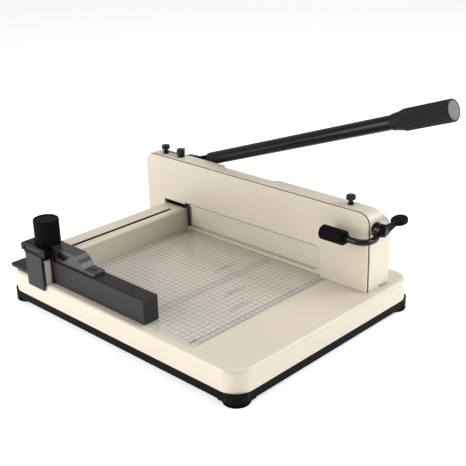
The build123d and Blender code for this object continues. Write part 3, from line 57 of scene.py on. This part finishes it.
floor_mesh = bpy.data.meshes.new("floor")
floor_form = bmesh.new()
bmesh.ops.create_grid(floor_form, x_segments=1, y_segments=1, size=6.0)
floor_form.to_mesh(floor_mesh)
floor_form.free()
floor = bpy.data.objects.new("floor", floor_mesh)
scene.collection.objects.link(floor)


class Value:
    """One output of a shader node. Arithmetic on it adds Math nodes to its own material."""

    def __init__(self, finish, socket):
        self.finish = finish
        self.socket = socket

    def maths(self, operation, *terms):
        return self.finish.node("ShaderNodeMath", {"operation": operation}, dict(enumerate(terms)))

    def either(self, other):
        """The larger of two masks: 1 where one of them is."""
        return self.maths("MAXIMUM", self, other)

    def __add__(self, other):
        return self.maths("ADD", self, other)

    __radd__ = __add__

    def __sub__(self, other):
        return self.maths("SUBTRACT", self, other)

    def __rsub__(self, other):
        return self.maths("SUBTRACT", other, self)

    def __mul__(self, other):
        return self.maths("MULTIPLY", self, other)

    __rmul__ = __mul__

    def __truediv__(self, other):
        return self.maths("DIVIDE", self, other)

    def __gt__(self, other):
        return self.maths("GREATER_THAN", self, other)

    def __lt__(self, other):
        return self.maths("LESS_THAN", self, other)


class Finish:
    """A material on the Principled shader, given its constant sockets by name."""

    def __init__(self, name, **constants):
        self.material = bpy.data.materials.new(name)
        self.material.use_nodes = True
        self.tree = self.material.node_tree
        self.shader = self.tree.nodes["Principled BSDF"]
        for socket, value in constants.items():
            self.put(self.shader, socket.replace("_", " "), value)

    def put(self, node, socket, value):
        if isinstance(value, Value):
            self.tree.links.new(value.socket, node.inputs[socket])
        else:
            node.inputs[socket].default_value = value

    def node(self, kind, settings=None, sockets=None, output=0):
        made = self.tree.nodes.new(kind)
        for name, value in (settings or {}).items():
            setattr(made, name, value)
        for name, value in (sockets or {}).items():
            self.put(made, name, value)
        return Value(self, made.outputs[output])

    def place(self):
        """Where a point is on the machine at rest, in metres."""
        return self.node("ShaderNodeTexCoord", output="Object")

    def along(self, axis):
        """How far a point is along one axis, 0, 1 or 2 for X, Y or Z."""
        return self.node("ShaderNodeSeparateXYZ", None, {0: self.place()}, output=axis)

    def noise(self, size, detail=2.0):
        """Soft noise from 0 to 1, with blotches about this size in metres."""
        sockets = {"Vector": self.place(), "Scale": 1.0 / size, "Detail": detail}
        return self.node("ShaderNodeTexNoise", None, sockets)

    def blend(self, share, first, second):
        """A colour between two, by share."""
        return self.node("ShaderNodeMix", {"data_type": "RGBA"}, {0: share, 6: first, 7: second}, output=2)

    def set(self, socket, value):
        self.put(self.shader, socket, value)

    def bumps(self, height, depth, strength=1.0):
        """Relief of this depth in metres, from a height of 0 to 1."""
        sockets = {"Height": height, "Distance": depth, "Strength": strength}
        self.set("Normal", self.node("ShaderNodeBump", None, sockets))

    def on(self, *names):
        for name in names:
            nodes[name].data.materials.clear()
            nodes[name].data.materials.append(self.material)


floor_paint = Finish("floor_paint", Roughness=0.6)
floor_tone = floor_paint.noise(0.4)
floor_paint.set("Base Color", floor_paint.blend(floor_tone, (0.93, 0.93, 0.93, 1), (0.95, 0.95, 0.95, 1)))
floor_paint.set("Emission Color", (1.0, 1.0, 1.0, 1))
floor_paint.set("Emission Strength", 0.42)
floor_mesh.materials.append(floor_paint.material)


def soft_box(name, place, target, width, power):
    light = bpy.data.lights.new(name, "AREA")
    light.shape = "SQUARE"
    light.size = width
    light.energy = power
    box = bpy.data.objects.new(name, light)
    scene.collection.objects.link(box)
    aim = Vector(target) - Vector(place)
    box.matrix_world = Matrix.Translation(place) @ aim.to_track_quat("-Z", "Y").to_matrix().to_4x4()


soft_box("key_light", place=(1.35, 1.05, 1.05), target=(0.0, 0.0, 0.1), width=1.2, power=22.0)
soft_box("fill_light", place=(-0.75, -1.6, 0.7), target=(0.0, 0.0, 0.1), width=1.3, power=24.0)
soft_box("top_light", place=(-0.1, 0.6, 1.9), target=(0.0, 0.1, 0.1), width=1.0, power=10.0)

EYE = (0.95431, -0.91564, 0.66509)
YAW = math.radians(44.262)
PITCH = math.radians(-22.469)
ROLL = math.radians(-1.541)
forward = Vector((-math.sin(YAW) * math.cos(PITCH), math.cos(YAW) * math.cos(PITCH), math.sin(PITCH)))
level = Vector((math.cos(YAW), math.sin(YAW), 0.0))
upright = level.cross(forward)
right = level * math.cos(ROLL) + upright * math.sin(ROLL)
up = upright * math.cos(ROLL) - level * math.sin(ROLL)
turn = Matrix((right, up, -forward)).transposed()
lens = bpy.data.cameras.new("camera")
lens.sensor_width = 36.0
lens.lens = 70.735
lens.clip_start = 0.05
camera = bpy.data.objects.new("camera", lens)
scene.collection.objects.link(camera)
camera.matrix_world = Matrix.Translation(EYE) @ turn.to_4x4()
scene.camera = camera

# ---------------------------------------------------------------------
# Base tray, fence, front plate, rear shell and clamp beam: folded and pressed
# steel sheet, powder coated in one cream, with fine orange peel and faint wear.
# ---------------------------------------------------------------------
CREAM = (0.640, 0.575, 0.470, 1)
CREAM_WARM = (0.620, 0.55, 0.440, 1)
CREAM_RUBBED = (0.58, 0.53, 0.43, 1)
# UNLIT is the near black used as painted shade where light hardly reaches.
UNLIT = (0.016, 0.015, 0.014, 1)


def cream_coat(name, unlit=None):
    """Semi-gloss cream powder coat, with painted shade towards near black where unlit(coat) is 1."""
    coat = Finish(name, Specular_IOR_Level=0.6)
    drift = coat.noise(0.09, 3.0)
    rubbed = coat.noise(0.013, 6.0) > 0.70
    tone = coat.blend(drift, CREAM, CREAM_WARM)
    painted = coat.blend(rubbed * 0.35, tone, CREAM_RUBBED)
    coat.set("Base Color", coat.blend(unlit(coat), painted, UNLIT) if unlit else painted)
    coat.set("Roughness", 0.24 + 0.10 * drift + 0.08 * rubbed)
    peel = coat.noise(0.0016, 1.5)
    coat.bumps(peel, 0.00005, 0.6)
    return coat


def middle(name, axis):
    """The middle of a piece's box on one axis."""
    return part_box(name)[0][axis] / 2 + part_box(name)[1][axis] / 2


# Where painted shade darkens the unlit inside of the fence: within its walls and above HOLLOW_FLOOR,
# and the slot's sides, within SLOT_HALF of the gauge's screw and above SLOT_FLOOR.
# The fence's top face itself stays cream.
FENCE_WALL = 0.0019
SLOT_HALF = 0.0035
SLOT_FLOOR = 0.090
HOLLOW_FLOOR = 0.050
TOP_FACE = 0.0001
HOUSED_FROM = 0.0012


def inside_fence(coat):
    """Painted shade in the hollow under the fence's top, its slot and its end in the housing, where little
    light gets.
    """
    x, y, z = (coat.along(axis) for axis in range(3))
    fence_low, fence_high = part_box("fence_rail")
    under_top = z < fence_high[2] - FENCE_WALL
    between = (x > fence_low[0] + FENCE_WALL) * (x < fence_high[0] - FENCE_WALL)
    hollow = between * (y > fence_low[1]) * (y < fence_high[1]) * (z > HOLLOW_FLOOR) * under_top
    slot_x = middle("gauge_clamp_screw", 0)
    in_slot = (x > slot_x - SLOT_HALF) * (x < slot_x + SLOT_HALF)
    slot = in_slot * (z > SLOT_FLOOR) * (z < fence_high[2] - TOP_FACE)
    housed = between * (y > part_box("front_plate")[0][1] + HOUSED_FROM) * (z > SLOT_FLOOR)
    return (hollow + slot).either(housed)


# The return flange lies further behind the plate's front than this.
FLANGE_FROM = 0.0031


def return_flange(coat):
    """Painted shade on the flange turned back behind the front plate's top edge, in the shadow of the
    joint.
    """
    return (coat.along(1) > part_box("front_plate")[0][1] + FLANGE_FROM) * 0.85


LIP_HEIGHT = 0.0063
GROOVE_HEIGHT = 0.0036


def beam_groove(coat):
    """Painted shade in the groove above the clamp beam's lip, a little darker than the beam."""
    z = coat.along(2)
    groove_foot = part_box("clamp_beam")[0][2] + LIP_HEIGHT
    return (z > groove_foot) * (z < groove_foot + GROOVE_HEIGHT) * 0.24


# The fence, the front plate's return flange and the clamp beam's groove get painted shade towards UNLIT.
cream_coat("cream_powder_coat").on("rear_shell")
cream_coat("cream_coat_front_plate", return_flange).on("front_plate")
cream_coat("cream_coat_clamp_beam", beam_groove).on("clamp_beam")
cream_coat("cream_coat_round_fence", inside_fence).on("base_shell", "fence_rail")

# ---------------------------------------------------------------------
# Measuring sheet: a thin film stuck to the table, printed in pale blue grey
# with a 10 mm grid and ruler bands beside the fence, in the middle and at the right.
# ---------------------------------------------------------------------
FILM = (0.545, 0.515, 0.455, 1)
FILM_DULL = (0.515, 0.485, 0.425, 1)
TICK_INK = (0.10, 0.11, 0.13, 1)
FRONT_TICK_INK = (0.22, 0.26, 0.32, 1)
CENTIMETRE = 0.010
GRID_LINE = 0.0007
GRID_INK = (0.17, 0.155, 0.14, 1)
BAND_INK = (0.31, 0.325, 0.335, 1)
sheet_low, sheet_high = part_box("table_sheet")
film = Finish("printed_film", Specular_IOR_Level=0.8)
film_x = film.along(0)
film_y = film.along(1)


def ink_lines(where, origin, pitch, width):
    """1 on lines across this axis, every pitch from origin, all in metres."""
    step = (where - origin) / pitch
    off_line = step.maths("PINGPONG", step, 0.5)
    return off_line < (width / pitch / 2)


def ink_band(where, start, end):
    """1 between two places on this axis."""
    return (where > start) * (where < end)


grid_x0 = sheet_low[0] + 0.0014
grid_y0 = sheet_low[1] + 0.0100
grid_across = ink_lines(film_x, grid_x0, CENTIMETRE, GRID_LINE)
grid = grid_across.either(ink_lines(film_y, grid_y0, CENTIMETRE, GRID_LINE))
printed = ink_band(film_y, grid_y0 - 0.0002, sheet_high[1] - 0.001)
middle_x = sheet_low[0] + 0.1890
BAND_SPANS = (
    (sheet_low[0] + 0.0010, sheet_low[0] + 0.0150),
    (middle_x, middle_x + 0.0160),
    (sheet_high[0] - 0.0130, sheet_high[0] - 0.0010),
)
bands = sum(ink_band(film_x, start, end) for start, end in BAND_SPANS)
band_edges = sum(
    ink_band(film_x, edge - 0.0004, edge + 0.0004) for span in BAND_SPANS for edge in span
)
ticks = ink_lines(film_y, grid_y0, 0.002, 0.0005)
tick_reach = ink_lines(film_x, sheet_low[0] + 0.0010, 0.0070, 0.0035)
front_band = ink_band(film_y, sheet_low[1] + 0.001, grid_y0)
front_ticks = ink_lines(film_x, grid_x0, 0.005, 0.0006) * front_band
blotch = film.noise(0.05)
paper = film.blend(blotch, FILM, FILM_DULL)
with_grid = film.blend(grid * printed * 0.95, paper, GRID_INK)
with_band = film.blend(bands * printed * 0.16, with_grid, BAND_INK)
with_edges = film.blend(band_edges * printed * 0.7, with_band, GRID_INK)
with_ticks = film.blend(bands * printed * ticks * tick_reach * 0.8, with_edges, TICK_INK)
film.set("Base Color", film.blend(front_ticks * 0.5, with_ticks, FRONT_TICK_INK))
film.set("Roughness", 0.13 + 0.10 * blotch)
film.bumps(film.noise(0.004), 0.00002, 0.5)
film.on("table_sheet")

# ---------------------------------------------------------------------
# Figures printed on the measuring sheet: centimetres along the rulers and the
# short format lines, in dark blue-grey ink that lies 0.05 mm above the film.
# ---------------------------------------------------------------------
INK_Z = sheet_high[2] + 0.00005
ink = Finish("printed_ink", Roughness=0.45)
ink_density = ink.noise(0.003)
ink.set("Base Color", ink.blend(ink_density, (0.05, 0.055, 0.07, 1), (0.08, 0.085, 0.10, 1)))


def figure(text, x, y, height):
    """A printed figure read from the machine's right side, as a flat mesh in its place."""
    letters = bpy.data.curves.new("figure", "FONT")
    letters.body = text
    letters.size = height
    letters.resolution_u = 2
    letters.align_x = "CENTER"
    letters.align_y = "CENTER"
    holder = bpy.data.objects.new("figure", letters)
    flat = bpy.data.meshes.new_from_object(holder)
    bpy.data.objects.remove(holder)
    flat.transform(Matrix.Translation((x, y, INK_Z)) @ Matrix.Rotation(math.radians(90), 4, "Z"))
    return flat


def rule(x, y0, y1, width):
    """A printed line along Y, as a flat mesh in its place."""
    line = bmesh.new()
    bmesh.ops.create_grid(line, x_segments=1, y_segments=1, size=0.5)
    bmesh.ops.scale(line, vec=(width, y1 - y0, 1.0), verts=line.verts)
    bmesh.ops.translate(line, vec=(x, (y0 + y1) / 2, INK_Z), verts=line.verts)
    flat = bpy.data.meshes.new("rule")
    line.to_mesh(flat)
    line.free()
    return flat


marks = bmesh.new()
LAST_CM = 27
for cm in range(1, LAST_CM + 1):
    for band_x in (sheet_low[0] + 0.0085, middle_x + 0.008, sheet_high[0] - 0.007):
        marks.from_mesh(figure(str(cm), band_x, grid_y0 + cm * CENTIMETRE, 0.0052))
FORMAT_LINES = (
    ("148 x 210", 0.0155, 0.0265),
    ("182 x 257", 0.0865, -0.0235),
    ("210 x 297", 0.126, -0.0535),
)
HALF_RULE = 0.024
for label, x, y in FORMAT_LINES:
    marks.from_mesh(figure(label, x - 0.0045, y, 0.0060))
    marks.from_mesh(rule(x, y - HALF_RULE, y + HALF_RULE, 0.0012))
marks.from_mesh(figure("A4", sheet_high[0] - 0.0125, sheet_low[1] + 0.011, 0.0115))
marks_mesh = bpy.data.meshes.new("sheet_figures")
marks.to_mesh(marks_mesh)
marks.free()
marks_mesh.materials.append(ink.material)
sheet_figures = bpy.data.objects.new("sheet_figures", marks_mesh)
scene.collection.objects.link(sheet_figures)
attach(sheet_figures, "base")

# ---------------------------------------------------------------------
# Cutting stick: a soft white plastic bar let into the table under the blade,
# scored by the blade along its middle.
# ---------------------------------------------------------------------
stick = Finish("scored_plastic")
off_score = stick.along(1) - (middle("cutting_stick", 1) + 0.001)
scored = off_score.maths("ABSOLUTE", off_score) < 0.0006
stick_tone = stick.noise(0.01, 4.0)
STICK_WHITE = (0.68, 0.67, 0.62, 1)
STICK_SCORED = (0.3, 0.29, 0.27, 1)
stick.set("Base Color", stick.blend(scored * 0.7 + stick_tone * 0.1, STICK_WHITE, STICK_SCORED))
stick.set("Roughness", 0.5 + 0.1 * stick_tone)
stick.bumps(1.0 - scored, 0.0003)
stick.on("cutting_stick")

# ---------------------------------------------------------------------
# Rim, fence end cap and release paddle: black moulded plastic with a fine
# spark-eroded grain. The rim is a frame that clips under the tray.
# ---------------------------------------------------------------------


def moulded(name, dark, light, rough, grain=0.0009, depth=0.00006, shine=0.28):
    """A finish with a fine grain, a little greyer where the grain stands up."""
    plastic = Finish(name, Specular_IOR_Level=shine)
    speck = plastic.noise(grain, 2.0)
    haze = plastic.noise(0.03, 3.0)
    plastic.set("Base Color", plastic.blend(0.5 * haze + 0.5 * speck, dark, light))
    plastic.set("Roughness", rough + 0.14 * haze)
    plastic.bumps(speck, depth, 0.8)
    return plastic


black_plastic = moulded("black_moulding", (0.0015, 0.0015, 0.002, 1), (0.005, 0.005, 0.0055, 1),
                        rough=0.38, shine=0.05)
black_plastic.on("base_rim", "release_paddle", "clamp_grip", "gauge_knob")
cap_plastic = moulded("end_cap_moulding", (0.012, 0.013, 0.0135, 1), (0.022, 0.023, 0.023, 1), rough=0.42)
cap_plastic.on("fence_end_cap")

# ---------------------------------------------------------------------
# Feet: four moulded rubber pads with corner plates, matt black, each held by
# one screw from below.
# ---------------------------------------------------------------------
rubber = moulded("foot_rubber", (0.001, 0.001, 0.001, 1), (0.003, 0.003, 0.003, 1),
                 rough=0.62, grain=0.0006, depth=0.00008, shine=0.02)
rubber.on("corner_feet")

# ---------------------------------------------------------------------
# Back gauge: a bar and plates in dark grey fine-texture paint, a cast saddle and
# jaw in smooth black, and a bracket in glossier grey.
# ---------------------------------------------------------------------
texture_paint = moulded("fine_texture_paint", (0.009, 0.009, 0.0095, 1), (0.018, 0.018, 0.0185, 1),
                        rough=0.40, grain=0.0011, depth=0.0001, shine=0.26)
texture_paint.on("gauge_bar", "gauge_outer_plate", "bracket_screw")
saddle_paint = Finish("smooth_black_paint", Specular_IOR_Level=0.12)
saddle_haze = saddle_paint.noise(0.03, 3.0)
saddle_paint.set("Roughness", 0.26 + 0.14 * saddle_haze)
saddle_paint.bumps(saddle_paint.noise(0.0014), 0.00006, 0.8)
# The shallow recess in the saddle's front has a paler floor.
SADDLE_BLACK = (0.002, 0.002, 0.0025, 1)
SADDLE_WORN = (0.005, 0.005, 0.0055, 1)
RECESS_GREY = (0.032, 0.033, 0.033, 1)
RECESS_DEPTH = 0.0016
recess_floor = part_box("gauge_saddle")[0][1] + RECESS_DEPTH
saddle_y = saddle_paint.along(1)
in_recess = (saddle_y > recess_floor - 0.0002) * (saddle_y < recess_floor + 0.0002)
saddle_tone = saddle_paint.blend(saddle_paint.noise(0.004), SADDLE_BLACK, SADDLE_WORN)
saddle_paint.set("Base Color", saddle_paint.blend(in_recess, saddle_tone, RECESS_GREY))
saddle_paint.on("gauge_saddle", "gauge_jaw")
bracket_paint = moulded("bracket_gloss", (0.014, 0.014, 0.015, 1), (0.026, 0.026, 0.027, 1),
                        rough=0.22, grain=0.0014, shine=0.6)
bracket_paint.on("gauge_bracket")

# ---------------------------------------------------------------------
# Lever tube, arm, clamp rod and thumbscrews: steel in gloss black enamel with
# faint orange peel and hairline scratches.
# ---------------------------------------------------------------------
enamel = Finish("gloss_black_enamel", Specular_IOR_Level=0.12, Coat_Roughness=0.10)
enamel_haze = enamel.noise(0.04, 4.0)
hairlines = enamel.noise(0.0022, 6.0) > 0.68
enamel.set("Base Color", enamel.blend(enamel_haze, (0.002, 0.002, 0.0025, 1), (0.004, 0.004, 0.0045, 1)))
enamel.set("Roughness", 0.20 + 0.10 * enamel_haze + 0.12 * hairlines)
enamel.set("Coat Weight", 0.32 - 0.1 * enamel_haze)
enamel.bumps(enamel.noise(0.0035), 0.00004, 0.5)
enamel.on("lever_arm", "lever_tube", "clamp_handle_arm", "thumbscrew_left", "thumbscrew_right", "lock_pin",
          "arm_rivets", "pin_strap", "lock_pin_boss", "hub_bolt", "ratchet_wheel")

# ---------------------------------------------------------------------
# Lever grip: black moulded plastic pushed over the tube, a smooth neck and a
# handle cut with fine spiral ribs, closed by a grey cap.
# ---------------------------------------------------------------------
grip_plastic = moulded("grip_plastic", (0.005, 0.005, 0.0055, 1), (0.010, 0.010, 0.0105, 1),
                       rough=0.40, shine=0.16)
LEVER_RISE = math.radians(19.27)
TUBE_FOOT = Vector((-0.180, 0.1426, 0.16104))
RIBS = 30
RIB_TWIST = 190.0
RIB_DEPTH = 0.0009
RIB_START = 0.4740
RIB_END = 0.5480
AROUND = 240
RINGS = 69
HANDLE_START = 0.4745
HANDLE_LENGTH = 0.0750
HANDLE_R = 0.01598
# Half the grip's section: distance up the tube from its foot, and radius.
grip_line = [
    (0.4510, 0.01102), (0.4510, 0.0121), (0.4516, 0.0122), (0.4550, 0.01258), (0.4610, 0.0134),
    (0.4672, 0.01438), (0.4725, 0.0158), (0.4735, 0.01595),
]
grip_line += [(HANDLE_START + step * HANDLE_LENGTH / RINGS, HANDLE_R) for step in range(RINGS + 1)]
grip_line += [(0.5503, 0.0155), (0.5510, 0.01475), (0.5510, 0.01383), (0.5472, 0.01382)]
grip_form = bmesh.new()
points = [grip_form.verts.new((reach, radius, 0.0)) for reach, radius in grip_line]
outline = [grip_form.edges.new(pair) for pair in zip(points, points[1:])]
bmesh.ops.spin(grip_form, geom=points + outline, cent=(0, 0, 0), axis=(1, 0, 0), angle=2 * math.pi,
               steps=AROUND, use_merge=True)
for point in grip_form.verts:
    reach, across, rise = point.co
    if RIB_START < reach < RIB_END:
        wave = math.cos(RIBS * math.atan2(rise, across) + RIB_TWIST * (reach - HANDLE_START))
        radius = math.hypot(across, rise)
        cut = RIB_DEPTH * (0.5 - 0.5 * wave) ** 2
        point.co.yz = (across * (1 - cut / radius), rise * (1 - cut / radius))
along_lever = Matrix.Translation(TUBE_FOOT) @ Matrix.Rotation(-LEVER_RISE, 4, "Y")
bmesh.ops.transform(grip_form, matrix=along_lever, verts=grip_form.verts)
bmesh.ops.recalc_face_normals(grip_form, faces=grip_form.faces)
for face in grip_form.faces:
    face.smooth = True
grip_mesh = bpy.data.meshes.new("ribbed_grip")
grip_form.to_mesh(grip_mesh)
grip_form.free()
grip_mesh.materials.append(grip_plastic.material)
ribbed_grip = bpy.data.objects.new("ribbed_grip", grip_mesh)
scene.collection.objects.link(ribbed_grip)
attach(ribbed_grip, "lever")
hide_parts("lever_grip")
grip_cap = moulded("grip_cap_plastic", (0.12, 0.12, 0.125, 1), (0.18, 0.18, 0.185, 1), rough=0.4)
grip_cap.on("grip_end_cap")

# ---------------------------------------------------------------------
# Screws, nuts, pins and plates: steel with a pale zinc finish, slightly
# mottled and duller in patches.
# ---------------------------------------------------------------------


def steel(name, colour, dull, rough, grain=0.002):
    """Bare or plated steel with fine mottling."""
    metal = Finish(name, Metallic=1.0)
    patch = metal.noise(grain * 6, 4.0)
    fine = metal.noise(grain, 3.0)
    metal.set("Base Color", metal.blend(patch, colour, dull))
    metal.set("Roughness", rough + 0.18 * patch)
    metal.bumps(fine, 0.00002, 0.5)
    return metal


zinc = steel("zinc_plate", (0.60, 0.60, 0.58, 1), (0.45, 0.45, 0.44, 1), 0.28)
zinc.on("foot_screws", "fence_screws", "post_bolts", "frame_bolts", "guide_bolts", "blade_bolts",
        "pivot_nut", "pivot_bolt", "gauge_nut", "gauge_clamp_screw", "drive_pin", "bottom_cover",
        "fence_blocks")
bright = steel("turned_steel", (0.50, 0.50, 0.51, 1), (0.36, 0.36, 0.37, 1), 0.22)
bright.on("clamp_shaft", "drive_shaft", "idler_pin", "drive_gear", "idler_gear", "clamp_gear",
          "clamp_pinions")
# The racks' flat fronts are painted like the beam, and the left rack's is drawn dark,
# for the unlit gap at the throat's left end.
GAP_WIDTH = 0.0076
RACK_STEEL = (0.50, 0.50, 0.51, 1)
RACK_STEEL_DULL = (0.36, 0.36, 0.37, 1)
rack_steel = Finish("rack_with_painted_front")
rack_tone = rack_steel.noise(0.004, 3.0)
rack_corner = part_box("clamp_racks")[0]
painted_front = rack_steel.along(1) < rack_corner[1] + 0.0004
in_gap = (rack_steel.along(0) < rack_corner[0] + GAP_WIDTH) * painted_front
rack_paint = rack_steel.blend(in_gap, CREAM_WARM, UNLIT)
rack_metal = rack_steel.blend(rack_tone, RACK_STEEL, RACK_STEEL_DULL)
rack_steel.set("Base Color", rack_steel.blend(painted_front, rack_metal, rack_paint))
rack_steel.set("Metallic", 1.0 - painted_front)
rack_steel.set("Roughness", 0.28 + 0.14 * rack_tone)
rack_steel.bumps(rack_tone, 0.00002, 0.5)
rack_steel.on("clamp_racks")
ground = steel("ground_blade_steel", (0.66, 0.66, 0.68, 1), (0.54, 0.54, 0.56, 1), 0.16, 0.0012)
ground.on("blade")
bronze = steel("sintered_bronze", (0.50, 0.34, 0.16, 1), (0.34, 0.22, 0.10, 1), 0.35, 0.0008)
bronze.on("shaft_bushes", "lever_bush")

# ---------------------------------------------------------------------
# Posts and rear frame: iron and thick plate in dull grey primer, with a rough
# skin; the blade carrier in black oxide.
# ---------------------------------------------------------------------
primer = moulded("primed_iron", (0.10, 0.10, 0.10, 1), (0.15, 0.148, 0.145, 1),
                 rough=0.5, grain=0.002, depth=0.0002)
primer.on("left_post", "right_post", "rear_frame")
oxide = moulded("black_oxide", (0.03, 0.03, 0.031, 1), (0.055, 0.053, 0.05, 1),
                rough=0.38, grain=0.0015, depth=0.00004)
oxide.on("blade_carrier")
